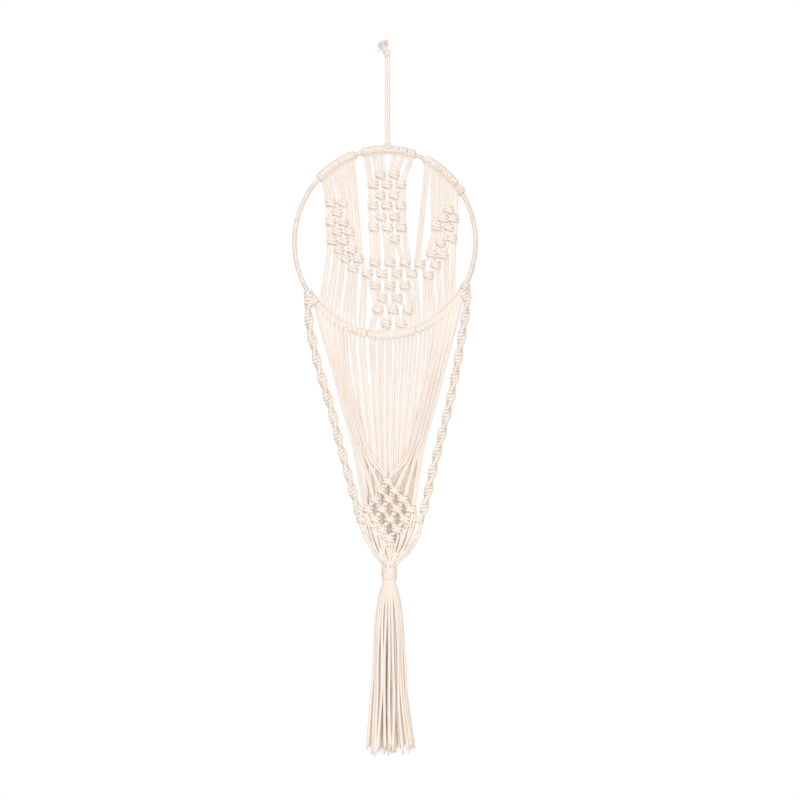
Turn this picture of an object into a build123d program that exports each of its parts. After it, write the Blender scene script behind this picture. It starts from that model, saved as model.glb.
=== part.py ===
from build123d import *
import math
import os

# Macrame dream catcher, hung from the knot at the origin. Millimetres, +Z up, -Y is the front.

# Driving sizes.
CORD_R = 1.6                 # 3.2 mm twisted cotton cord
BAR_R = 2.9                  # bar of the hoop
HOOP_X = -3.4                # the hoop hangs a little to the left of its cord
HOOP_Z = -252.3
HOOP_HALF_WIDTH = 123.2      # to the middle of the bar: the hoop is slightly oval
HOOP_HALF_HEIGHT = 126.6
COIL_PITCH = 3.3             # one turn of cord beside another along the bar
HANGER_END = -118.5          # lower end of the two hanger cords

# The lower rim, in degrees from the lowest point of the hoop.
SINNET_HEADS = [-56.4, -51.6, 57.0, 61.8]
# The angles at which the first and last strand of each panel reach the rim.
PANEL_SPREAD = [(-47.0, -13.4), (-9.6, 18.3), (21.5, 53.0)]
PANEL_STRANDS = 12
STRANDS = 36                 # strands that cross the inside of the hoop
RIM_COIL_R = 1.3             # the hitches are pulled tighter than the cord's own radius

# Lark's heads, in degrees clockwise from the top of the hoop.
LEFT_HEADS = [-44.3, -39.8, -35.3, -30.8, -26.3, -22.0]
CENTRE_HEADS = [-12.1, -7.2, -2.4, 6.1, 11.5, 16.9]
RIGHT_HEADS = [29.1, 34.0, 39.0, 43.9, 49.0, 55.5]

# Square knots, as (x, z) of their middles.
LEFT_KNOTS = [
    (-77, -199), (-60.5, -199), (-69, -212), (-77, -225), (-60, -225), (-68.5, -238),
    (-52, -238), (-75.5, -250.5), (-59.5, -250.5), (-66, -263), (-48.5, -263),
    (-57, -275), (-40, -275), (-47, -288),
]
RIGHT_KNOTS = [
    (84, -208), (75, -220), (91.5, -220), (83, -231.5), (66.5, -231.5), (89, -247),
    (72, -253), (60, -268), (75.5, -270), (44, -282), (65.5, -283), (55.5, -297),
]
# Rows of the centre panel and of the net below it: (z, first x, how many).
CENTRE_ROWS = [
    (-160.5, -10.0, 2), (-174, -19.5, 3), (-188.5, -10.0, 2), (-202.5, -19.5, 3),
    (-217.5, -9.0, 2), (-232.5, -18.5, 3), (-248, 9.5, 1),
]
NET_ROWS = [
    (-280, -17.0, 3), (-295, -28.0, 4), (-311.5, -17.0, 3), (-328, -7.5, 2),
    (-344, -13.0, 3), (-363, -2.0, 2),
]
CENTRE_STEP = 18.7
NET_STEP = 20.4
FRONT_KNOTS = [
    (0.7, -577), (-9, -589), (10.2, -589), (-17, -601), (2, -601), (21, -601),
    (-26.5, -614.5), (-7.5, -614.5), (13, -614.5), (32, -614.5), (-34.7, -628),
    (-17, -628), (3.5, -628), (23.5, -628), (41.5, -628), (-7.5, -642), (12.9, -642),
    (2, -654),
]
FRONT_Y = -8.0               # plane of the front net
CURTAIN_Y = 7.0              # plane of the curtain behind it

# Below the net the strands are drawn together, wrapped, and hang as a tassel.
GATHER_TOP = -644.6
GATHER_BOTTOM = -685.2
NECK_X = 2.3
SWAY_Z = -693.0              # the cords bend sideways above the wrap
SWAY_BALL = 7.3
WRAP_TOP = -691.6
WRAP_TURNS = 6
WRAP_R = 8.9
NECK_BOTTOM = -712.0
SWING_Z = -721.0             # the tassel bends forwards below the wrap
SWING_BALL = 8.5
HEAD_BOTTOM = -736.5
TASSEL_Z = [-733.0, -771.0, -826.0, -880.0, -936.0]
TASSEL_R = [13.2, 17.9, 20.0, 22.0, 26.5]
TASSEL_RINGS = {"inner": (7, 0.30), "middle": (14, 0.63), "outer": (22, 1.0)}

bend_radii = []


def turn_angle(a, b, c):
    first = (Vector(*b) - Vector(*a)).normalized()
    second = (Vector(*c) - Vector(*b)).normalized()
    return math.acos(max(-1.0, min(1.0, first.dot(second))))


def tube(points):
    """A cord along straight runs joined by tangent arcs."""
    kept = [points[0]]
    for here, after in zip(points[1:-1], points[2:]):
        if turn_angle(kept[-1], here, after) > math.radians(0.4):
            kept.append(here)
    kept.append(points[-1])
    if len(kept) == 2:
        path = Line(*kept)
    else:
        radii = []
        for before, here, after in zip(kept, kept[1:], kept[2:]):
            shorter = min(math.dist(before, here), math.dist(here, after))
            radii.append(0.45 * shorter / math.tan(turn_angle(before, here, after) / 2))
        bend_radii.extend(radii)
        path = FilletPolyline(*kept, radius=radii)
    return sweep(Plane(origin=path @ 0, z_dir=path % 0) * Circle(CORD_R), path=path)


def rim_point(degrees):
    """A point of the hoop's middle line, measured from its lowest point."""
    a = math.radians(degrees)
    x = HOOP_X + HOOP_HALF_WIDTH * math.sin(a)
    z = HOOP_Z - HOOP_HALF_HEIGHT * math.cos(a)
    return x, z


def rim_height(x, grow, side):
    """Height of the hoop's line at x, on its upper (+1) or lower (-1) half."""
    share = (x - HOOP_X) / (HOOP_HALF_WIDTH + grow)
    return HOOP_Z + side * (HOOP_HALF_HEIGHT + grow) * math.sqrt(1 - share * share)


def coil(degrees, shift, radius=CORD_R - 0.1):
    """One turn of cord round the bar, shift millimetres along it."""
    here = degrees + math.degrees(shift / HOOP_HALF_WIDTH)
    x, z = rim_point(here)
    a = math.radians(here)
    along = Vector(HOOP_HALF_WIDTH * math.cos(a), 0, HOOP_HALF_HEIGHT * math.sin(a))
    ring = Torus(BAR_R + radius + 0.1, radius)
    return Plane(origin=(x, 0, z), z_dir=along).location * ring


def larks_heads(from_top):
    turns = []
    for degrees in from_top:
        turns.append(coil(180 - degrees, -COIL_PITCH / 2))
        turns.append(coil(180 - degrees, COIL_PITCH / 2))
    return turns


def hitch_angle(strand):
    first, last = PANEL_SPREAD[strand // PANEL_STRANDS]
    return first + (last - first) * (strand % PANEL_STRANDS) / (PANEL_STRANDS - 1)


def rim_hitches():
    """Two turns of each strand round the lower rim."""
    turns = []
    for strand in range(STRANDS):
        turns.append(coil(hitch_angle(strand), -RIM_COIL_R - 0.05, RIM_COIL_R))
        turns.append(coil(hitch_angle(strand), RIM_COIL_R + 0.05, RIM_COIL_R))
    return turns


def sinnet_mounts():
    turns = []
    for degrees in SINNET_HEADS:
        turns.append(coil(degrees, -COIL_PITCH / 2))
        turns.append(coil(degrees, COIL_PITCH / 2))
    return turns


def make_square_knot(thick):
    body = extrude(Plane.XZ * SlotOverall(15.0, 10.4), amount=thick / 2, both=True)
    return fillet(body.edges(), 2.4)


def place_knots(knot, spots, y):
    return [Pos(x, y, z) * knot for x, z in spots]


def row_spots(rows, step):
    return [(x + step * n, z) for z, x, count in rows for n in range(count)]


def upper_start(strand):
    heads = LEFT_HEADS + CENTRE_HEADS + RIGHT_HEADS
    x = rim_point(180 - heads[strand // 2])[0] + (1.75 if strand % 2 else -1.75)
    lowest = min(rim_height(x - 1.7, -6.6, 1), rim_height(x + 1.7, -6.6, 1))
    return x, 0, lowest


def lower_end(strand):
    x = rim_point(hitch_angle(strand))[0]
    highest = max(rim_height(x - 1.7, -6.6, -1), rim_height(x + 1.7, -6.6, -1))
    return x, 0, highest


def left_strand(k):
    return tube([upper_start(k), (-82.3 + 4.57 * k, 0, -253 - 3.1 * k), lower_end(k)])


def centre_strand(k):
    x = -24.5 + 4.5 * k
    points = [upper_start(12 + k), (x, 0, -166), (x, 0, -273), (-22.4 + 4.76 * k, 0, -330)]
    return tube(points + [lower_end(12 + k)])


def right_strand(k):
    middle = (90.4 - 5.0 * k, 0, -268 - 1.73 * k)
    return tube([upper_start(35 - k), middle, lower_end(35 - k)])


def below_rim(strand):
    x = rim_point(hitch_angle(strand))[0]
    lowest = min(rim_height(x - 1.7, 7.4, -1), rim_height(x + 1.7, 7.4, -1))
    return x, 0, lowest


def curtain_strand(c):
    start = below_rim(8 + c)
    layer = 2 if c % 2 else -2
    narrow = -28.5 + 3.36 * c
    middle = (start[0] * 0.55 + narrow * 0.45, 4 + layer, -470)
    low = (narrow, CURTAIN_Y + layer, -562)
    return tube([start, middle, low, (-27 + 3.3 * c, CURTAIN_Y + layer, GATHER_TOP - 2)])


def front_strand(f, side):
    """Strand f of eight, counted from the outside; side is -1 on the left, +1 on the right."""
    strand = f if side < 0 else STRANDS - 1 - f
    layer = 2 if f % 2 else -2
    middle_x = 1.4
    net_x = [-33, -29.5, -25, -20, -15.5, -11, -6.5, -2.5][f]
    net_z = [-600, -597, -590, -586, -578, -574, -567, -562][f]
    points = [
        below_rim(strand),
        (middle_x + side * (74 - 2.6 * f), -3 + layer, -428),
        (middle_x + side * (58 - 2.45 * f), -5 + layer, -484),
        (middle_x + side * (44.5 - 2.7 * f), -7 + layer, -530),
        (middle_x - side * net_x, FRONT_Y + layer, net_z),
        (5.4 + side * (31.2 - 3.4 * f), FRONT_Y + layer, GATHER_TOP - 2),
    ]
    return tube(points)


LEFT_SINNET = [
    (-108.5, -3, -340), (-105.9, -4, -370), (-100.8, -4, -391), (-92.5, -4, -427),
    (-77.9, -5, -473), (-61.5, -6, -540), (-46.9, -7, -590), (-31.5, -8, -646.6),
]
RIGHT_SINNET = [
    (108.4, -3, -333), (104.4, -4, -360), (95.7, -4, -414), (85.1, -5, -468),
    (72.4, -6, -519), (60.5, -7, -566), (51.0, -7, -608), (42.5, -8, -646.6),
]
LOBES = 11
WAIST_R = 3.9
LOBE_R = 5.9


def sinnet_cores(route):
    return [tube([(x, y + s * 1.7, z) for x, y, z in route]) for s in (-1, 1)]


def sinnet_lobes(route, knotted):
    """Barrels of spiralling half knots, end to end along the top share of the route."""
    line = Polyline(*route)
    length = line.length * knotted / LOBES
    lobes = []
    for n in range(LOBES):
        start = line @ (knotted * n / LOBES)
        end = line @ (knotted * (n + 1) / LOBES)
        along = end - start
        tall = min(length, along.length) - 0.6
        side = ThreePointArc((WAIST_R, 0), (LOBE_R, tall / 2), (WAIST_R, tall))
        bottom = Line((0, 0), (WAIST_R, 0))
        edges = [bottom, side, Line((WAIST_R, tall), (0, tall)), Line((0, tall), (0, 0))]
        barrel = revolve(Plane.XZ * make_face(edges), Axis.Z)
        lobes.append(Plane(origin=start, z_dir=along).location * barrel)
    return lobes


def hanging_knot():
    return [Pos(-0.9, 0, 5.7) * Sphere(5.2)]


def frayed_ends():
    return [
        tube([(-1.5, 1.9, 8.5), (-2.5, 1.9, 16), (-4.5, 1.9, 23)]),
        tube([(-3.0, -1.9, 8.0), (-7.0, -1.9, 12.5), (-13.0, -1.9, 15)]),
    ]


def hanger_cord(side):
    return [Pos(side * 1.7, 0, (HANGER_END - 2) / 2) * Cylinder(CORD_R, -2 - HANGER_END)]


def hoop_bar():
    line = Plane.XZ * Pos(HOOP_X, HOOP_Z) * Ellipse(HOOP_HALF_WIDTH, HOOP_HALF_HEIGHT)
    edge = line.edges()[0]
    return [sweep(Plane(origin=edge @ 0, z_dir=edge % 0) * Circle(BAR_R), path=edge)]


def gathered_cords():
    top = Plane(origin=(5.4, 0, GATHER_TOP)) * RectangleRounded(80, 26, 9)
    middle = Plane(origin=(4.2, 0, -668)) * RectangleRounded(56, 23, 9)
    bottom = Plane(origin=(2.6, 0, GATHER_BOTTOM)) * RectangleRounded(28, 20, 9)
    return [loft([bottom, middle, top])]


def gathering_wrap():
    pitch = (WRAP_TOP - NECK_BOTTOM - 1) / WRAP_TURNS
    return [
        Pos(NECK_X, 0, WRAP_TOP - (n + 0.5) * pitch) * Torus(WRAP_R, CORD_R - 0.1)
        for n in range(WRAP_TURNS)
    ]


def neck_bundle():
    """The strands inside the wrap, rounded on top where they bend."""
    top = SWAY_Z + SWAY_BALL
    arc = ThreePointArc(
        (0, top),
        (SWAY_BALL * math.sin(math.pi / 4), SWAY_Z + SWAY_BALL * math.cos(math.pi / 4)),
        (SWAY_BALL, SWAY_Z),
    )
    edges = [
        arc,
        Line((SWAY_BALL, SWAY_Z), (SWAY_BALL, NECK_BOTTOM)),
        Line((SWAY_BALL, NECK_BOTTOM), (0, NECK_BOTTOM)),
        Line((0, NECK_BOTTOM), (0, top)),
    ]
    return [Pos(NECK_X, 0, 0) * revolve(Plane.XZ * make_face(edges), Axis.Z)]


def tassel_head():
    """The top of the tassel, where the strands are still pressed together."""
    top = SWING_Z + SWING_BALL
    arc = ThreePointArc(
        (0, top),
        (SWING_BALL * math.sin(math.pi / 4), SWING_Z + SWING_BALL * math.cos(math.pi / 4)),
        (SWING_BALL, SWING_Z),
    )
    edges = [
        arc,
        Line((SWING_BALL, SWING_Z), (15.2, HEAD_BOTTOM)),
        Line((15.2, HEAD_BOTTOM), (0, HEAD_BOTTOM)),
        Line((0, HEAD_BOTTOM), (0, top)),
    ]
    return [Pos(NECK_X, 0, 0) * revolve(Plane.XZ * make_face(edges), Axis.Z)]


def tassel_ring(count, share):
    strands = []
    for n in range(count):
        a = 2 * math.pi * (n + 0.5 * share) / count
        points = []
        for r, z in zip(TASSEL_R, TASSEL_Z):
            points.append((NECK_X + share * r * math.cos(a), share * r * math.sin(a), z))
        x, y, z = points[-1]
        points[-1] = (x, y, z + 5 * math.cos(7.3 * n + 9 * share))
        strands.append(tube(points))
    return strands


def tassel_inner():
    """A ring of seven round one in the middle."""
    middle = [(NECK_X, 0, -733), (NECK_X + 0.6, 0, -785), (NECK_X, 0.6, -840)]
    middle += [(NECK_X - 0.6, 0, -890), (NECK_X, 0, -938)]
    return tassel_ring(*TASSEL_RINGS["inner"]) + [tube(middle)]


def save(name, solids):
    shape = Compound(children=list(solids)) if len(solids) > 1 else solids[0]
    shape.label = name
    export_step(shape, f"parts/{name}.step")
    print(name, len(solids))


os.makedirs("parts", exist_ok=True)
square_knot = make_square_knot(7.0)
front_knot = make_square_knot(9.0)
save("hanging_knot", hanging_knot())
save("frayed_ends", frayed_ends())
save("hanger_cord_left", hanger_cord(-1))
save("hanger_cord_right", hanger_cord(1))
save("hoop", hoop_bar())
save("hanger_hitch", larks_heads([1.6]))
save("larks_heads_left", larks_heads(LEFT_HEADS))
save("larks_heads_centre", larks_heads(CENTRE_HEADS))
save("larks_heads_right", larks_heads(RIGHT_HEADS))
save("left_panel_cords", [left_strand(k) for k in range(12)])
save("centre_panel_cords", [centre_strand(k) for k in range(12)])
save("right_panel_cords", [right_strand(k) for k in range(12)])
save("left_panel_knots", place_knots(square_knot, LEFT_KNOTS, 0))
save("centre_panel_knots", place_knots(square_knot, row_spots(CENTRE_ROWS, CENTRE_STEP), 0))
save("right_panel_knots", place_knots(square_knot, RIGHT_KNOTS, 0))
save("joined_net_knots", place_knots(square_knot, row_spots(NET_ROWS, NET_STEP), 0))
save("rim_hitches", rim_hitches())
save("sinnet_mounting_knots", sinnet_mounts())
save("back_curtain_cords", [curtain_strand(c) for c in range(20)])
save("front_cords_left", [front_strand(f, -1) for f in range(8)])
save("front_cords_right", [front_strand(f, 1) for f in range(8)])
save("front_net_knots", place_knots(front_knot, FRONT_KNOTS, FRONT_Y))
save("left_sinnet_cores", sinnet_cores(LEFT_SINNET))
save("right_sinnet_cores", sinnet_cores(RIGHT_SINNET))
save("left_sinnet_knots", sinnet_lobes(LEFT_SINNET, 0.86))
save("right_sinnet_knots", sinnet_lobes(RIGHT_SINNET, 0.86))
save("gathered_cords", gathered_cords())
save("gathering_wrap", gathering_wrap())
save("neck_bundle", neck_bundle())
save("tassel_head", tassel_head())
save("tassel_strands_inner", tassel_inner())
save("tassel_strands_middle", tassel_ring(*TASSEL_RINGS["middle"]))
save("tassel_strands_outer", tassel_ring(*TASSEL_RINGS["outer"]))
print("bend radii, smallest first:", [round(r) for r in sorted(bend_radii)[:12]])
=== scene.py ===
import math
import random

import bpy
import numpy as np
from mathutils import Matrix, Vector


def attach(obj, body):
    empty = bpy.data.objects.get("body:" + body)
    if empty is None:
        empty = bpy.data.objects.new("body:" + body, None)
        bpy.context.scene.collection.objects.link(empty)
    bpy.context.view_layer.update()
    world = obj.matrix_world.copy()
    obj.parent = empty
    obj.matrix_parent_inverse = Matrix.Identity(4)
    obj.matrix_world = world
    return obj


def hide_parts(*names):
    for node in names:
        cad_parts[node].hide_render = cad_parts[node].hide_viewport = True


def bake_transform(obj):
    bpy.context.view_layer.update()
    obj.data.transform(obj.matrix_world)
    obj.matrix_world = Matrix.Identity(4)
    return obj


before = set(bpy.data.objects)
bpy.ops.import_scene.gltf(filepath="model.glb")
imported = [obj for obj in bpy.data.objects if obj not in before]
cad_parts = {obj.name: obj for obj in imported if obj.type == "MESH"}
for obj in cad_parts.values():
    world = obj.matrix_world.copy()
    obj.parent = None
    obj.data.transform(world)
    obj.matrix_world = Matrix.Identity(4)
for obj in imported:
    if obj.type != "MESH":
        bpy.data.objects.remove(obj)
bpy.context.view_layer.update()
rng = random.Random(7)

# Sizes in millimetres, as in the CAD. Every mesh is scaled to metres when it is made.
MM = 0.001
CORD_R = 1.6
BAR_R = 2.9
HOOP_X = -3.4
HOOP_Z = -252.3
HOOP_HALF_WIDTH = 123.2               # to the bar's middle line, as is the height
HOOP_HALF_HEIGHT = 126.6
HOOP_JOIN = 104.0                     # where the rod's ends meet, in degrees from the top
HOOP_JOIN_END = 128.0                 # where the step at the join has faded out
WRAP_ROUND_BAR = BAR_R + CORD_R       # radius of a turn of cord round the hoop

# How a cord is drawn.
PLIES = 3
PLY_LOBE = 0.10                       # how far a ply stands out, as a share of the radius
FUZZ = 0.08                           # soft fibre outside the plies
SWELL = 0.50                          # how much fuller a cord looks where it crosses others
TWIST_PITCH = 11.0                    # one full twist of the three plies
RING_SIDES = 12
RING_STEP = 1.15                      # distance between cross-sections along a cord
FIBRE_R = 0.38                        # radius of a loose thread at its root
END_FADE = 30.0                       # length over which a cord narrows or widens to its end

# A cord near to the bar is wound round it, and is pressed wider there.
WOUND_WITHIN = 7.5                    # distance from the bar's middle line where winding begins
WOUND_FADE = 1.5                      # distance over which it becomes full
UPPER_SPREAD = 0.9                    # how much wider a turn is on the hoop's upper half
LOWER_SPREAD = 0.5                    # and on its lower half

# Strands are counted from the left.
STRANDS = 36
PANEL_STRANDS = 12
FRONT_SIDE = 8                        # strands at each side that fall forward into the front net
CURTAIN_STRANDS = 20

# Hitches of the panels and lark's heads of the sinnets, in degrees from the hoop's lowest point.
PANEL_SPREAD = [(-47.0, -13.4), (-9.6, 18.3), (21.5, 53.0)]
SINNET_HEADS = [-56.4, -51.6, 57.0, 61.8]

# Lark's heads of the panels, in degrees clockwise from the top of the hoop.
LEFT_HEADS = [-44.3, -39.8, -35.3, -30.8, -26.3, -22.0]
CENTRE_HEADS = [-12.1, -7.2, -2.4, 6.1, 11.5, 16.9]
RIGHT_HEADS = [29.1, 34.0, 39.0, 43.9, 49.0, 55.5]

# Square knots inside the hoop: x and z of the middle, and the first of its four strands.
LEFT_KNOTS = [
    (-77, -199, 0), (-60.5, -199, 4), (-69, -212, 2), (-77, -225, 0), (-60, -225, 4),
    (-68.5, -238, 2), (-52, -238, 6), (-75.5, -250.5, 0), (-59.5, -250.5, 4),
    (-66, -263, 2), (-48.5, -263, 6), (-57, -275, 4), (-40, -275, 8), (-47, -288, 6),
]
CENTRE_KNOTS = [
    (-10, -160.5, 14), (8.7, -160.5, 18), (-19.5, -174, 12), (-0.8, -174, 16),
    (17.9, -174, 20), (-10, -188.5, 14), (8.7, -188.5, 18), (-19.5, -202.5, 12),
    (-0.8, -202.5, 16), (17.9, -202.5, 20), (-9, -217.5, 14), (9.7, -217.5, 18),
    (-18.5, -232.5, 12), (0.2, -232.5, 16), (18.9, -232.5, 20), (9.5, -248, 18),
]
RIGHT_KNOTS = [
    (83, -208, 30), (89, -220, 32), (75, -220, 28), (83, -231.5, 30), (66.5, -231.5, 26),
    (87, -247, 32), (72, -253, 28), (60, -268, 26), (75.5, -270, 30), (44, -282, 24),
    (65.5, -283, 28), (55.5, -297, 26),
]
NET_KNOTS = [
    (-17, -280, 12), (3.4, -280, 16), (23.8, -280, 20), (-28, -295, 10), (-7.6, -295, 14),
    (12.8, -295, 18), (33.2, -295, 22), (-17, -311.5, 12), (3.4, -311.5, 16),
    (23.8, -311.5, 20), (-7.5, -328, 14), (12.9, -328, 18), (-13, -344, 12),
    (7.4, -344, 16), (27.8, -344, 20), (-2, -363, 14), (18.4, -363, 18),
]
# Square knots of the front net, whose sixteen strands are counted from the left.
FRONT_KNOTS = [
    (0.7, -577, 6), (-9, -589, 4), (10.2, -589, 8), (-17, -601, 2), (2, -601, 6),
    (21, -601, 10), (-26.5, -614.5, 0), (-7.5, -614.5, 4), (13, -614.5, 8),
    (32, -614.5, 12), (-17, -628, 2), (3.5, -628, 6), (23.5, -628, 10), (-7.5, -642, 4),
    (12.9, -642, 8), (2, -654, 6),
]
# Where the sinnets join the edges of the front net.
OUTER_KNOTS = {"left": (-34.7, -628), "right": (41.5, -628)}
KNOT_TALL = 5.0                       # half the height of a square knot
FRONT_Y = -8.0                        # plane of the front net
CURTAIN_Y = 7.0                       # plane of the curtain behind it
LAYER = 2                             # half the depth between two layers of strands

GATHER_TOP = -640.0
NECK_X = 2.3
BUNDLE_R = 6.4                        # radius of the strands' middles as they enter the wrap
GOLDEN_ANGLE = 2.39996                # spreads the strands evenly over the bundle
ABOVE_WRAP = -686.0                   # where the strands close up before they enter the wrap
GATHER_ENDS = [-694, -700]            # heights inside the wrap through which a strand runs out
WRAP_TOP = -691.6
NECK_BOTTOM = -712.0
WRAP_TURNS = 6
WRAP_R = 8.9
WRAP_STEPS = 16                       # points in one turn of the wrap
NECK_R = 6.6                          # radius of the strands inside the wrap
TASSEL_ROOTS = [-706, -714]           # heights inside the wrap through which a strand passes
TASSEL_Z = [-733.0, -771.0, -826.0, -880.0, -936.0]
TASSEL_R = [13.2, 17.9, 20.0, 22.0, 26.5]
TASSEL_STRAY = 0.022                  # sideways stray of a strand at each height, in radians
TASSEL_UNEVEN = 0.02                  # and its stray outwards, as a share of the radius
# Rings of the tassel: word, node, how many strands and the share of the full radius.
TASSEL_RINGS = [("core", "inner", 1, 0.0), ("inner", "inner", 7, 0.30),
                ("middle", "middle", 14, 0.63), ("outer", "outer", 22, 1.0)]

# Middle lines of the two spiral sinnets, from the rim down to the gathering.
LEFT_SINNET = [
    (-103.5, -5, -322), (-108.8, -5, -334), (-107.2, -4, -352), (-105.4, -4, -372),
    (-100.8, -4, -391), (-92.5, -4, -427), (-77.9, -5, -473), (-61.5, -6, -540),
    (-46.9, -7, -590), (-31.5, -8, -646.6),
]
RIGHT_SINNET = [
    (104.5, -5, -312), (108.8, -5, -325), (106.6, -4, -343), (104.0, -4, -362),
    (95.7, -4, -414), (85.1, -5, -468), (72.4, -6, -519), (60.5, -7, -566),
    (51.0, -7, -608), (42.5, -8, -646.6),
]
HALF_KNOT = 5.3                       # length of one half knot along a sinnet
HALF_SPIRAL = 28.5                    # length in which a sinnet turns half round
KNOTTED_SHARE = 0.92                  # share of a sinnet that is knotted; the rest runs free
UNKNOT_FADE = 12.0                    # length over which its cords close up below the knots

# Studio, in metres.
MIDDLE = Vector((0, 0, -0.5))         # what the lamps are aimed at
WHITE = (1.0, 1.0, 1.0)
WARM = (1.0, 0.84, 0.70)              # light that has bounced off pale cotton and wood
ROOM_LIGHT = 0.25                     # strength of the room's light on the object
LENS = 100
SENSOR = 36
VIEW_WIDTH = 1.088                    # what the camera sees across, at the object
VIEW_X = 0.017
VIEW_Z = -0.4665


# ---------------------------------------------------------------- lines and meshes

def smooth_line(points):
    """Points along the NURBS line that has these control points."""
    curve = bpy.data.curves.new("line", "CURVE")
    curve.dimensions = "3D"
    spline = curve.splines.new("NURBS")
    spline.points.add(len(points) - 1)
    for point, place in zip(spline.points, points):
        point.co = (*place, 1.0)
    spline.order_u = min(3, len(points))
    spline.use_endpoint_u = True
    spline.resolution_u = 10
    holder = bpy.data.objects.new("line", curve)
    mesh = bpy.data.meshes.new_from_object(holder)
    line = np.array([v.co for v in mesh.vertices], float)
    bpy.data.objects.remove(holder)
    bpy.data.curves.remove(curve)
    bpy.data.meshes.remove(mesh)
    return line


def spaced(line, step):
    """The same line with points an even step apart."""
    along = np.concatenate([[0], np.cumsum(np.linalg.norm(np.diff(line, axis=0), axis=1))])
    count = max(3, int(along[-1] / step) + 1)
    at = np.linspace(0, along[-1], count)
    return np.stack([np.interp(at, along, line[:, i]) for i in range(3)], axis=1), at


def carried_frames(line):
    """Two directions across the line at each point, carried along it without spinning."""
    along = np.gradient(line, axis=0)
    along /= np.linalg.norm(along, axis=1)[:, None]
    start = np.array([0.0, 1.0, 0.0])
    if abs(along[0] @ start) > 0.9:
        start = np.array([1.0, 0.0, 0.0])
    across = np.zeros_like(line)
    across[0] = start - along[0] * (along[0] @ start)
    across[0] /= np.linalg.norm(across[0])
    for i in range(1, len(line)):
        carried = across[i - 1] - along[i] * (along[i] @ across[i - 1])
        across[i] = carried / np.linalg.norm(carried)
    return across, np.cross(along, across)


def swept(line, radii, plies=PLIES, sides=RING_SIDES, pitch=TWIST_PITCH, phase=0.0, along=None):
    """Corners and faces of a twisted cord along the line."""
    across, up = carried_frames(line)
    angle = np.linspace(0, 2 * math.pi, sides, endpoint=False)
    turn = phase + 2 * math.pi * along / pitch
    lobes = 1.0 + (PLY_LOBE * np.cos(plies * (angle[None, :] - turn[:, None])) if plies else 0.0)
    r = radii[:, None] * lobes
    ring = (across[:, None, :] * (r * np.cos(angle))[:, :, None]
            + up[:, None, :] * (r * np.sin(angle))[:, :, None])
    corners = (line[:, None, :] + ring).reshape(-1, 3)
    n = len(line)
    rows = np.arange(n - 1)[:, None] * sides
    here = np.arange(sides)[None, :]
    after = (here + 1) % sides
    faces = np.stack([rows + here, rows + after, rows + sides + after, rows + sides + here], -1)
    first = np.arange(sides)[::-1]
    last = np.arange(sides) + (n - 1) * sides
    return corners, faces.reshape(-1, 4), [first, last]


def mesh_object(name, parts, material):
    """One object from several swept parts, given in millimetres."""
    corners = np.concatenate([p[0] for p in parts]) * MM
    faces = []
    caps = []
    start = 0
    for part in parts:
        faces.append(part[1] + start)
        caps += [cap + start for cap in part[2]]
        start += len(part[0])
    faces = np.concatenate(faces)
    mesh = bpy.data.meshes.new(name)
    mesh.vertices.add(len(corners))
    mesh.vertices.foreach_set("co", corners.ravel())
    loops = np.concatenate([faces.ravel()] + caps)
    sizes = np.concatenate([np.full(len(faces), 4)] + [[len(cap)] for cap in caps])
    starts = np.concatenate([[0], np.cumsum(sizes)[:-1]])
    mesh.loops.add(len(loops))
    mesh.loops.foreach_set("vertex_index", loops.astype(np.int32))
    mesh.polygons.add(len(sizes))
    mesh.polygons.foreach_set("loop_start", starts.astype(np.int32))
    mesh.update(calc_edges=True)
    mesh.validate()
    mesh.polygons.foreach_set("use_smooth", np.ones(len(mesh.polygons), bool))
    piece = bpy.data.objects.new(name, mesh)
    bpy.context.scene.collection.objects.link(piece)
    mesh.materials.append(material)
    return piece


def near_hoop(line):
    """How tightly each point is wound round the hoop, from 0 to 1, and the way along the bar."""
    x = line[:, 0] - HOOP_X
    z = line[:, 2] - HOOP_Z
    angle = np.arctan2(x, z)
    bar = np.hypot(HOOP_HALF_WIDTH * np.sin(angle), HOOP_HALF_HEIGHT * np.cos(angle))
    away = np.hypot(np.hypot(x, z) - bar, line[:, 1])
    near = np.clip((WOUND_WITHIN - away) / WOUND_FADE, 0, 1)
    return near, np.stack([np.cos(angle), np.zeros(len(line)), -np.sin(angle)], axis=1)


def spread_on_hoop(part, line):
    """Flatten the turns round the hoop, so that they lie side by side without gaps."""
    near, way = near_hoop(line)
    fill = np.where(line[:, 2] > HOOP_Z, UPPER_SPREAD, LOWER_SPREAD)
    corners = part[0].reshape(len(line), -1, 3)
    sideways = ((corners - line[:, None, :]) * way[:, None, :]).sum(axis=2)
    corners = corners + way[:, None, :] * (sideways * (fill * near)[:, None])[:, :, None]
    return corners.reshape(-1, 3), part[1], part[2]


def cord(route, ends=None, plane=None, fuller=1.0):
    """A swept cord. ends gives the share of the radius at its start and its end, plane the depth
    of the net that it is knotted into, in front of and behind which it swells, and fuller how
    much thicker it looks all along."""
    line, along = spaced(smooth_line(route), RING_STEP)
    radii = np.full(len(line), (CORD_R + FUZZ) * fuller)
    if plane is not None:
        crossing = np.clip((np.abs(line[:, 1] - plane) - 2.0) / 2.0, 0, 1)
        radii *= 1 + SWELL * crossing * (1 - near_hoop(line)[0])
    if ends:
        share = np.clip(np.minimum(along, along[-1] - along) / END_FADE, 0, 1)
        near_start = along < along[-1] / 2
        small = np.where(near_start, ends[0], ends[1])
        radii *= small + (1 - small) * share
    part = swept(line, radii, phase=rng.uniform(0, 6.28), along=along)
    return part if plane is None else spread_on_hoop(part, line)


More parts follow.
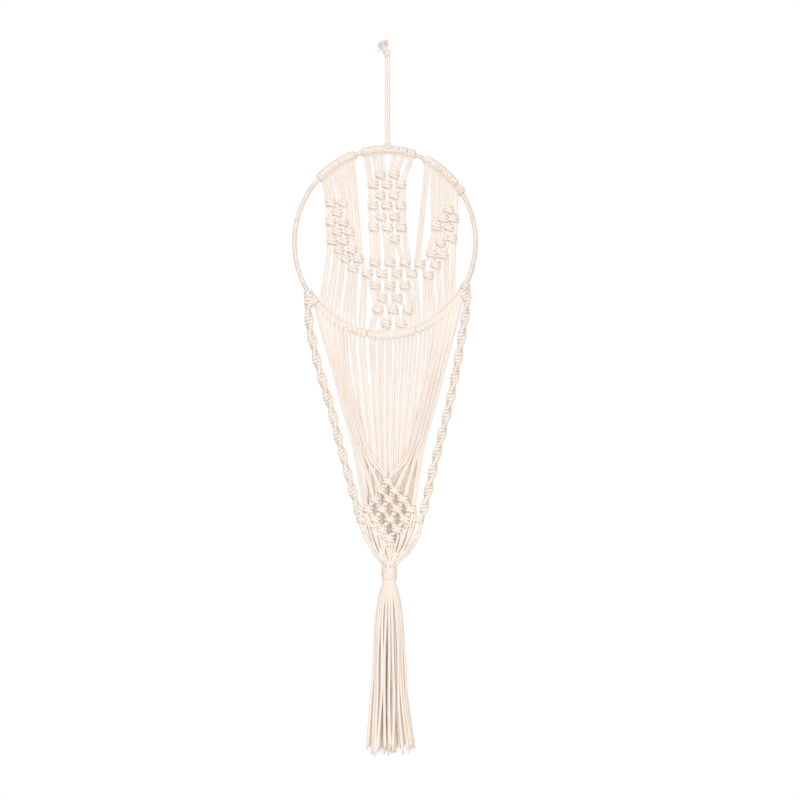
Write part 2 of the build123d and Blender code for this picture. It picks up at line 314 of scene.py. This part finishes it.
def fibres(tip, direction, count, length, spread):
    """Loose ends of thread that fan out from the tip of a cord."""
    made = []
    heading = np.array(direction, float)
    heading /= np.linalg.norm(heading)
    t = np.linspace(0, 1, 5)[:, None]
    radii = FIBRE_R * (1 - 0.7 * t[:, 0])
    for _ in range(count):
        away = np.array([rng.gauss(0, 1), rng.gauss(0, 1), rng.gauss(0, 1)])
        away -= heading * (away @ heading)
        away *= rng.uniform(0.1, 1.0) / max(np.linalg.norm(away), 0.3)
        root = np.array(tip) + away * 0.8 * CORD_R
        line = root + heading * length * rng.uniform(0.55, 1.0) * t + away * spread * t ** 1.6
        made.append(swept(line, radii, plies=0, sides=5, along=t[:, 0]))
    return made


# ---------------------------------------------------------------- places on the hoop

def rim_point(degrees, out=0.0):
    """A point in the hoop's plane, in degrees from its lowest point and millimetres outwards."""
    a = math.radians(degrees)
    x = HOOP_X + HOOP_HALF_WIDTH * math.sin(a)
    z = HOOP_Z - HOOP_HALF_HEIGHT * math.cos(a)
    return x + out * math.sin(a), z - out * math.cos(a)


def near_bar(degrees, along, out, y):
    """A point near the bar: along it, outwards from the hoop's middle, and in depth."""
    a = math.radians(degrees)
    x, z = rim_point(degrees, out)
    return x + along * math.cos(a), y, z + along * math.sin(a)


def hitch_angle(strand):
    """Where on the lower rim a strand is hitched, in degrees from the lowest point."""
    first, last = PANEL_SPREAD[strand // PANEL_STRANDS]
    return first + (last - first) * (strand % PANEL_STRANDS) / (PANEL_STRANDS - 1)


def hitch_half(strand):
    """Half the distance between the two turns of a strand's hitch, so that the turns fill the rim."""
    first, last = PANEL_SPREAD[strand // PANEL_STRANDS]
    return math.radians(last - first) / (PANEL_STRANDS - 1) * HOOP_HALF_WIDTH / 4


def half_head(degrees, side, inwards=1, drop=-5.0):
    """Half of a lark's head, from the middle of its front bar to the strand that leaves it,
    at an angle in degrees clockwise from the top."""
    steps = [
        (0.0, -2.0, -6.5), (2.6, -2.1, -6.3), (4.1, -3.0, -4.7), (4.2, -4.2, -2.4),
        (3.9, -4.5, 0.8), (3.4, -3.2, 3.7), (2.8, 0.0, 4.7), (2.5, 3.4, 3.3),
        (2.4, 4.6, 0.0), (2.4, 3.4, -3.3), (2.35, 0.0, -4.5), (2.2, -3.2, -4.0),
        (2.1, -5.6, -2.4),
    ]
    a = 180 - degrees
    head = [near_bar(a, -side * u, inwards * out, y) for u, out, y in steps]
    x, y, z = head[-1]
    return head + [(x, 0.3 * y, z + drop)]


def hitch_turn(degrees, along, first, last, count):
    """A turn round the bar at the lower rim; 90 degrees of turn is at the front."""
    route = []
    for n in range(count):
        share = n / (count - 1)
        a = math.radians(first + (last - first) * share)
        u = along * (2 * share - 1)
        y = -WRAP_ROUND_BAR * math.sin(a)
        route.append(near_bar(degrees, u, -WRAP_ROUND_BAR * math.cos(a), y))
    return route


# ---------------------------------------------------------------- knots

def knot_route(x, y, z, role, lean):
    """One of the four strands of a square knot: 0 and 3 tie it, 1 and 2 run straight through."""
    tall = KNOT_TALL
    if role in (1, 2):
        u = -1.7 if role == 1 else 1.7
        return [(x + u, y, z + tall + 1.0), (x + u, y, z), (x + u, y, z - tall - 1.0)]
    side = -1 if role == 0 else 1
    shape = [
        (4.8, 0.0, tall + 1.8), (6.0, 0.7 * side, tall - 0.4), (5.7, 2.6 * side, 3.8),
        (2.4, 3.4 * side, 3.0), (-2.4, 3.4 * side, 1.1), (-5.7, 2.6 * side, 0.6),
        (-6.8, 0.0, 0.0), (-5.7, -2.6 * side, -0.6), (-2.4, -3.4 * side, -1.1),
        (2.4, -3.4 * side, -3.0), (5.7, -2.6 * side, -3.8), (6.0, -0.7 * side, -tall + 0.4),
        (4.8, 0.0, -tall - 1.8),
    ]
    return [(x + side * u + lean * w, y + v, z + w - lean * side * u) for u, v, w in shape]


def through_knots(strand, knots, y):
    """The stretch of a strand that runs through every knot it is part of, from the top."""
    route = []
    mine = [k for k in knots if k[2] <= strand <= k[2] + 3]
    for x, z, first in sorted(mine, key=lambda k: -k[1]):
        lean = 0.12 * math.sin(1.7 * x + 0.9 * z)
        route += knot_route(x, y, z, strand - first, lean)
    return route


# ---------------------------------------------------------------- the parts

def loose_middle(start, end, sag):
    """A point near the middle of a free stretch, pushed a little aside as slack cord is."""
    return tuple((a + b) / 2 + rng.uniform(-sag, sag) for a, b in zip(start, end))


def part_way(start, end, distance):
    """The point that far from start towards end."""
    share = distance / math.dist(start, end)
    return tuple(a + (b - a) * share for a, b in zip(start, end))


def panel_strand(strand):
    """A strand inside the hoop, from its lark's head to the top of its hitch on the rim."""
    heads = LEFT_HEADS + CENTRE_HEADS + RIGHT_HEADS
    side = 1 if strand % 2 else -1
    top = half_head(heads[strand // 2], side)
    knots = through_knots(strand, LEFT_KNOTS + CENTRE_KNOTS + RIGHT_KNOTS + NET_KNOTS, 0)
    half = hitch_half(strand)
    bottom = hitch_turn(hitch_angle(strand), half, -25, 430, 11)
    route = top + knots
    route += [loose_middle(route[-1], bottom[0], 0.7), part_way(bottom[0], route[-1], 7.0)]
    return cord(route + bottom, plane=0)


def rim_exit(strand):
    """Where a strand leaves its hitch, from the front of the bar down and out."""
    angle = hitch_angle(strand)
    half = hitch_half(strand)
    return [near_bar(angle, half, -2.0, -4.6), near_bar(angle, half, 1.5, -4.7),
            near_bar(angle, half, 5.5, -3.0)]


def curtain_strand(c):
    """Strand c of the curtain, from its hitch on the rim down to the gathering."""
    start = rim_exit(FRONT_SIDE + c)
    layer = LAYER if c % 2 else -LAYER
    x, z = start[-1][0], start[-1][2]
    paired = 0.9 * (1 if c % 2 == 0 else -1) if c < 11 else 0.0
    narrow = -28.5 + 3.36 * c + paired
    under = (x + paired, 0.5, z - 16)
    middle = (x * 0.55 + narrow * 0.45 + rng.uniform(-0.8, 0.8), 4 + layer, -470)
    low = (narrow + rng.uniform(-0.5, 0.5), CURTAIN_Y + layer, -562)
    end = (-27 + 3.3 * c, CURTAIN_Y + layer, GATHER_TOP)
    return start + [under, middle, low, end], end


def front_route(f, side):
    """The free stretch of front strand f, counted from the outside."""
    layer = LAYER if f % 2 else -LAYER
    middle_x = 1.4
    route = [
        (middle_x + side * (74 - 2.6 * f), -3 + layer, -428),
        (middle_x + side * (60.5 - 2.55 * f), -5 + layer, -484),
        (middle_x + side * (47 - 2.25 * f), -7 + layer, -528),
    ]
    if f > 5:
        inwards = f - 6
        route += [(middle_x + side * (24 - 2.4 * inwards), -9 + layer, -549 + 2.5 * inwards),
                  (middle_x + side * (12.5 - 2.4 * inwards), -9 + layer, -561 + 2.5 * inwards)]
    return route


def front_strand(q):
    """Front strand q of sixteen, from the left, down through the front net."""
    left = q < FRONT_SIDE
    f = q if left else 2 * FRONT_SIDE - 1 - q
    strand = q if left else STRANDS - 1 - f
    start = rim_exit(strand)
    free = front_route(f, -1 if left else 1)
    knots = through_knots(q, FRONT_KNOTS, FRONT_Y)
    end = (-25 + 3.95 * q, FRONT_Y, min(GATHER_TOP, knots[-1][2] - 5))
    return start + free + knots + [end], end


def sinnet_strands(route, start_lean):
    """Two straight cores with two cords wound round them, which turn slowly as half knots do."""
    line, along = spaced(smooth_line(route), RING_STEP / 2)
    across, up = carried_frames(line)
    parts = []
    knotted = along[-1] * KNOTTED_SHARE
    fade = np.clip((along - knotted) / UNKNOT_FADE, 0, 1)
    lean = math.pi * along / HALF_SPIRAL * (1 + 0.07 * along / along[-1]) + start_lean
    wide_dir = across * np.cos(lean)[:, None] + up * np.sin(lean)[:, None]
    deep_dir = -across * np.sin(lean)[:, None] + up * np.cos(lean)[:, None]
    for start in (0, math.pi):
        wound = math.pi * along / HALF_KNOT + start
        held = start + math.pi * knotted / HALF_KNOT
        wound = np.where(along < knotted, wound, held)
        wide = 4.4 * (1 - fade) + 2.4 * fade
        deep = 1.6 * (1 - fade) + 1.2 * fade
        path = (line + wide_dir * (wide * np.cos(wound))[:, None]
                + deep_dir * (deep * np.sin(wound))[:, None])
        radii = CORD_R * (1 + 0.34 * (1 - fade))
        far = np.concatenate([[0], np.cumsum(np.linalg.norm(np.diff(path, axis=0), axis=1))])
        parts.append(swept(path, radii, phase=rng.uniform(0, 6), along=far))
    for start in (-1, 1):
        path = line + wide_dir * (1.2 * start)
        parts.append(swept(path, np.full(len(path), 1.3), along=along))
    return parts


def larks_head(degrees, drop):
    """A whole lark's head in one piece, whose strands leave the hoop outwards, at an angle in
    degrees from the hoop's lowest point."""
    left = half_head(180 - degrees, -1, -1, drop)
    right = half_head(180 - degrees, 1, -1, drop)
    return cord(left[::-1] + right[1:], plane=0)


def gather_strand(start, n, count):
    """From the net down into the wrap, where the cords are squeezed together."""
    a = n * GOLDEN_ANGLE
    r = BUNDLE_R * math.sqrt((n + 0.5) / count)
    x, y, z = start
    bundle = (NECK_X + r * math.cos(a), r * math.sin(a) * 0.9)
    middle = (x * 0.7 + bundle[0] * 0.3, y * 0.9 + bundle[1] * 0.1, z * 0.4 + ABOVE_WRAP * 0.6)
    low = (x * 0.2 + bundle[0] * 0.8, y * 0.4 + bundle[1] * 0.6, ABOVE_WRAP - 1)
    inside = [(*bundle, height) for height in GATHER_ENDS]
    return cord([start, middle, low] + inside, ends=(1.0, 0.8))


def wrap_coils():
    """The binding cord, wound down the neck."""
    pitch = (WRAP_TOP - NECK_BOTTOM - 1) / WRAP_TURNS
    route = []
    for n in range(WRAP_TURNS * WRAP_STEPS + 1):
        a = 2 * math.pi * n / WRAP_STEPS
        z = WRAP_TOP - CORD_R - (pitch * (WRAP_TURNS - 1)) * n / (WRAP_TURNS * WRAP_STEPS)
        route.append((NECK_X + WRAP_R * math.cos(a), WRAP_R * math.sin(a), z))
    return cord(route)


def tassel_route(count, share, n):
    """One hanging strand of the tassel, from the middle of the wrap to its cut end."""
    a = 2 * math.pi * (n + 0.5 * share) / count
    route = []
    for level, (r, z) in enumerate(zip(TASSEL_R, TASSEL_Z)):
        b = a + level * rng.gauss(0, TASSEL_STRAY)
        r *= share * (1 + level * rng.gauss(0, TASSEL_UNEVEN))
        route.append((NECK_X + r * math.cos(b), r * math.sin(b), z))
    x, y, z = route[-1]
    flick = max(0.0, math.cos(a) - 0.5) * 10 * share
    route[-1] = (x + flick, y, z + 5 * math.cos(7.3 * n + 9 * share) + flick)
    squeezed = (NECK_X + share * NECK_R * math.cos(a), share * NECK_R * math.sin(a))
    return [(*squeezed, root) for root in TASSEL_ROOTS] + route


def tassel_strand(name, route):
    """A tassel strand, hung from inside the wrap, and the loose threads at its cut end."""
    line = smooth_line(route)
    piece = mesh_object(name, [cord(route, ends=(0.75, 1.2), fuller=1.15)], cotton)
    return piece, fibres(line[-1], line[-1] - line[-4], 20, 8.0, 3.2)


def hoop_bar():
    """The hoop, a bent rod whose two ends meet with a small step on the right."""
    angle = np.linspace(0, 2 * math.pi, 361)
    line = np.stack([HOOP_X + HOOP_HALF_WIDTH * np.sin(angle), np.zeros(len(angle)),
                     HOOP_Z + HOOP_HALF_HEIGHT * np.cos(angle)], axis=1)
    degrees = np.degrees(angle)
    step = np.clip((degrees - HOOP_JOIN) / 1.2, 0, 1) * np.clip((HOOP_JOIN_END - degrees) / 20, 0, 1)
    radii = BAR_R - 0.05 + 0.32 * step
    return swept(line, radii, plies=0, sides=20, along=angle)


def overhand_knot():
    """The two hanger cords tied in one tight overhand knot."""
    parts = []
    for spread in (-0.8, 0.8):
        t = np.linspace(0, 2 * math.pi, 49)
        grow = 1.22 + 0.10 * spread
        x = grow * (np.sin(t) + 2 * np.sin(2 * t)) - 0.9
        z = grow * (np.cos(t) - 2 * np.cos(2 * t)) * 1.25 + 5.0
        y = -1.9 * np.sin(3 * t) + spread
        line, along = spaced(np.stack([x, y, z], axis=1), RING_STEP)
        parts.append(swept(line, np.full(len(line), CORD_R * 0.95), along=along))
    return parts


def frayed_ends():
    """The two cord ends above the knot, and their threads, which fan out upwards and to the left."""
    ends = [cord([(-1.0, 1.0, 7.0), (-1.6, 1.2, 10.0), (-2.0, 1.3, 12.5)], ends=(1.0, 0.6)),
            cord([(-1.5, -1.0, 7.0), (-3.4, -1.2, 9.5), (-5.2, -1.3, 11.0)], ends=(1.0, 0.6))]
    ends += fibres((-2.0, 0.6, 9.5), (-0.15, 0, 1), 170, 14.5, 4.4)
    ends += fibres((-3.4, 0, 9.2), (-0.7, 0, 0.85), 170, 13.5, 4.4)
    ends += fibres((-6.0, 0, 8.3), (-1, 0, 0.08), 12, 10.0, 0.6)
    return ends


def hanger_route(side):
    """A hanger cord, taut from inside the knot to inside the hitch on the hoop."""
    return [(side * 1.6, 0, 1.5), (side * 1.75, 0, -12), (side * 1.7, 0, -60),
            (side * 1.7, 0, -108), (side * 1.65, 0, -121)]


def hanger_hitch():
    """The hanger cords' turns round the top of the hoop."""
    return [larks_head(178.4, 1.5)]


# ---------------------------------------------------------------- materials and studio

def node(tree, kind, **values):
    """A new shader node whose inputs, or else its own settings, have these values."""
    made = tree.nodes.new(kind)
    for name, value in values.items():
        if name in made.inputs:
            made.inputs[name].default_value = value
        else:
            setattr(made, name, value)
    return made


def cotton_material():
    """Undyed cotton: a fine fuzz, a little colour drift and a soft sheen."""
    material = bpy.data.materials.new("cotton cord")
    material.use_nodes = True
    tree = material.node_tree
    shader = tree.nodes["Principled BSDF"]
    place = tree.nodes.new("ShaderNodeTexCoord")
    drift = node(tree, "ShaderNodeTexNoise", Scale=38.0, Detail=3.0)
    tree.links.new(place.outputs["Object"], drift.inputs["Vector"])
    tint = tree.nodes.new("ShaderNodeValToRGB")
    tint.color_ramp.elements[0].position = 0.32
    tint.color_ramp.elements[0].color = (0.96, 0.88, 0.815, 1)
    tint.color_ramp.elements[1].position = 0.68
    tint.color_ramp.elements[1].color = (0.975, 0.914, 0.865, 1)
    tree.links.new(drift.outputs["Fac"], tint.inputs["Fac"])
    tree.links.new(tint.outputs["Color"], shader.inputs["Base Color"])
    shader.inputs["Roughness"].default_value = 0.9
    shader.inputs["Sheen Weight"].default_value = 0.1
    shader.inputs["Sheen Roughness"].default_value = 0.5
    shader.inputs["Specular IOR Level"].default_value = 0.2
    fuzz = node(tree, "ShaderNodeTexNoise", Scale=2600.0, Detail=3.0)
    tree.links.new(place.outputs["Object"], fuzz.inputs["Vector"])
    bump = node(tree, "ShaderNodeBump", Strength=0.25, Distance=0.0004)
    tree.links.new(fuzz.outputs["Fac"], bump.inputs["Height"])
    tree.links.new(bump.outputs["Normal"], shader.inputs["Normal"])
    return material


def wood_material():
    """The hoop: a smooth pale rod with faint grain."""
    material = bpy.data.materials.new("hoop wood")
    material.use_nodes = True
    tree = material.node_tree
    shader = tree.nodes["Principled BSDF"]
    place = tree.nodes.new("ShaderNodeTexCoord")
    grain = node(tree, "ShaderNodeTexNoise", Scale=90.0, Detail=5.0, Distortion=0.6)
    tree.links.new(place.outputs["Object"], grain.inputs["Vector"])
    tint = tree.nodes.new("ShaderNodeValToRGB")
    tint.color_ramp.elements[0].position = 0.35
    tint.color_ramp.elements[0].color = (0.87, 0.765, 0.69, 1)
    tint.color_ramp.elements[1].position = 0.7
    tint.color_ramp.elements[1].color = (0.97, 0.885, 0.825, 1)
    tree.links.new(grain.outputs["Fac"], tint.inputs["Fac"])
    tree.links.new(tint.outputs["Color"], shader.inputs["Base Color"])
    shader.inputs["Roughness"].default_value = 0.5
    return material


def area_light(name, place, size, power, colour):
    """A soft square lamp at this place, aimed at the middle of the object."""
    light = bpy.data.lights.new(name, "AREA")
    light.size = size
    light.energy = power
    light.color = colour
    lamp = bpy.data.objects.new(name, light)
    bpy.context.scene.collection.objects.link(lamp)
    lamp.location = place
    lamp.rotation_euler = (MIDDLE - Vector(place)).to_track_quat("-Z", "Y").to_euler()


def studio():
    """A white room with soft lights on all sides, and a camera straight in front. The camera sees
    the wall as plain white, and the object is lit by the warmer light that the room gives back."""
    world = bpy.data.worlds.new("white room")
    world.use_nodes = True
    tree = world.node_tree
    wall = tree.nodes["Background"]
    wall.inputs["Color"].default_value = (*WHITE, 1)
    bounce = node(tree, "ShaderNodeBackground", Color=(*WARM, 1), Strength=ROOM_LIGHT)
    path = tree.nodes.new("ShaderNodeLightPath")
    either = tree.nodes.new("ShaderNodeMixShader")
    tree.links.new(path.outputs["Is Camera Ray"], either.inputs[0])
    tree.links.new(bounce.outputs[0], either.inputs[1])
    tree.links.new(wall.outputs[0], either.inputs[2])
    tree.links.new(either.outputs[0], tree.nodes["World Output"].inputs["Surface"])
    bpy.context.scene.world = world
    bpy.context.scene.view_settings.view_transform = "Standard"
    area_light("main light", (-0.5, -1.6, 1.1), 1.0, 14, WHITE)
    area_light("fill light", (0.2, -2.9, -0.1), 1.5, 43, WHITE)
    area_light("low light", (0.0, -1.0, -1.1), 0.6, 1.8, WHITE)
    area_light("back light", (0.3, 2.2, 1.6), 1.0, 42, WARM)
    area_light("left light", (-2.3, 0.8, 0.0), 1.0, 10, WARM)
    area_light("right light", (2.3, 0.8, 0.0), 1.0, 10, WARM)
    lens = bpy.data.cameras.new("camera")
    lens.lens = LENS
    lens.sensor_width = SENSOR
    lens.clip_end = 20
    view = bpy.data.objects.new("camera", lens)
    bpy.context.scene.collection.objects.link(view)
    view.location = (VIEW_X, -VIEW_WIDTH * LENS / SENSOR, VIEW_Z)
    view.rotation_euler = (math.pi / 2, 0, 0)
    bpy.context.scene.camera = view


def pale_floor():
    """A small pale floor below the tassel, out of the camera's view."""
    bpy.ops.mesh.primitive_plane_add(size=1.4, location=(0, 0, -1.15))
    floor = bpy.context.object
    floor.name = "floor"
    material = bpy.data.materials.new("pale floor")
    material.use_nodes = True
    shader = material.node_tree.nodes["Principled BSDF"]
    shader.inputs["Base Color"].default_value = (0.86, 0.85, 0.84, 1)
    shader.inputs["Roughness"].default_value = 0.8
    floor.data.materials.append(material)


# ---------------------------------------------------------------- the model

studio()
pale_floor()
cotton = cotton_material()
wood = wood_material()


def ride(piece, body, *nodes):
    """Fix a piece to a body, in place of the CAD's nodes."""
    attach(piece, body)
    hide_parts(*nodes)
    return piece


def drape(piece, *nodes):
    """Leave a piece fixed to no body, with its placement baked into its mesh, in place of the CAD's
    nodes.
    """
    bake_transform(piece)
    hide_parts(*nodes)
    return piece


ride(mesh_object("overhand_knot", overhand_knot(), cotton), "hanging_point", "hanging_knot")
ride(mesh_object("frayed_cord_ends", frayed_ends(), cotton), "hanging_point", "frayed_ends")

for side, word in ((-1, "left"), (1, "right")):
    piece = mesh_object(f"hanger_cord_{word}_visual", [cord(hanger_route(side))], cotton)
    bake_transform(piece)
    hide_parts(f"hanger_cord_{word}")
    line = smooth_line(hanger_route(side)) * MM

ride(mesh_object("hoop_rod", [hoop_bar()], wood), "hoop_and_net", "hoop")
ride(mesh_object("hanger_hitch_turns", hanger_hitch(), cotton), "hoop_and_net", "hanger_hitch")

for n, word in enumerate(("left", "centre", "right")):
    strands = range(n * PANEL_STRANDS, (n + 1) * PANEL_STRANDS)
    piece = mesh_object(f"{word}_panel", [panel_strand(s) for s in strands], cotton)
    ride(piece, "hoop_and_net", f"{word}_panel_cords", f"{word}_panel_knots",
         f"larks_heads_{word}", "joined_net_knots", "rim_hitches")

mounts = [larks_head(degrees, -5.0) for degrees in SINNET_HEADS]
ride(mesh_object("sinnet_heads", mounts, cotton), "hoop_and_net", "sinnet_mounting_knots")

gather_starts = []
curtain = []
for c in range(CURTAIN_STRANDS):
    route, end = curtain_strand(c)
    curtain.append(cord(route))
    gather_starts.append(end)
drape(mesh_object("back_curtain", curtain, cotton), "back_curtain_cords")

for word, first in (("left", 0), ("right", FRONT_SIDE)):
    front = []
    for q in range(first, first + FRONT_SIDE):
        route, end = front_strand(q)
        front.append(cord(route, plane=FRONT_Y))
        gather_starts.append(end)
    drape(mesh_object(f"front_strands_{word}", front, cotton),
          f"front_cords_{word}", "front_net_knots")

for word, route, lean in (("left", LEFT_SINNET, 0.6), ("right", RIGHT_SINNET, 0.1)):
    parts = sinnet_strands(route, lean)
    knot_x, knot_z = OUTER_KNOTS[word]
    for role in (0, 3):
        parts.append(cord(knot_route(knot_x, FRONT_Y, knot_z, role, 0.0), plane=FRONT_Y))
    piece = mesh_object(f"{word}_spiral_sinnet", parts, cotton)
    drape(piece, f"{word}_sinnet_cores", f"{word}_sinnet_knots")
    x, y, z = route[-1]
    half_gap = 1.7
    for dx in (-half_gap, half_gap):
        for dy in (-half_gap, half_gap):
            gather_starts.append((x + dx, y + dy, z))

gathered = [gather_strand(s, n, len(gather_starts)) for n, s in enumerate(gather_starts)]
piece = mesh_object("gathered_strands", gathered, cotton)
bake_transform(piece)
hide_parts("gathered_cords", "neck_bundle")

ride(mesh_object("gathering_wrap_coils", [wrap_coils()], cotton), "neck", "gathering_wrap")

for word, ring, count, share in TASSEL_RINGS:
    tips = []
    for n in range(count):
        route = tassel_route(count, share, n)
        piece, threads = tassel_strand(f"tassel_{word}_{n + 1}", route)
        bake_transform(piece)
        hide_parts(f"tassel_strands_{ring}", "tassel_head")
        tips += threads
    ride(mesh_object(f"frayed_tips_{word}", tips, cotton), "tassel", f"tassel_strands_{ring}")
